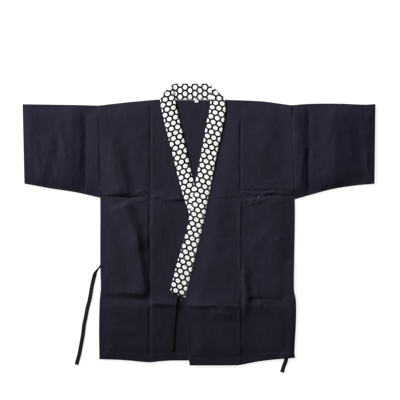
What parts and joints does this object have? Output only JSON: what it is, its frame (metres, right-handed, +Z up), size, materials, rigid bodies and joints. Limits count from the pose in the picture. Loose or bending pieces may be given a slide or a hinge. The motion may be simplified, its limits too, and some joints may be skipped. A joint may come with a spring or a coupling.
{
  "type": "short-sleeved wrap chef jacket",
  "caption": "Navy short-sleeved wrap jacket for a sushi chef, laid flat, with a white hexagon-print collar band and black tape ties.",
  "frame": {"origin": "centre of the box of the cloth pieces, at the height of the table", "axes": "+X towards the wearer's left sleeve, +Y towards the collar, +Z up from the table, through the back and then the fronts"},
  "size_m": [1.013, 0.8314, 0.0077],
  "materials": {
    "navy_cloth": "matt plain weave",
    "printed_cloth": "matt white cotton with a black hexagon print",
    "tape": "matt woven tape",
    "label_tape": "smooth white tape"
  },
  "bodies": {
    "root": {"back": "navy_cloth", "front_right": "navy_cloth", "front_left": "navy_cloth", "sleeve_right": "navy_cloth", "sleeve_left": "navy_cloth", "collar_band_right": "printed_cloth", "collar_band_left": "printed_cloth", "collar_band_neck": "printed_cloth", "neck_label": "label_tape", "tie_side_right": "tape", "tie_band_left": "tape", "tie_side_left": "tape"}
  },
  "joints": []
}
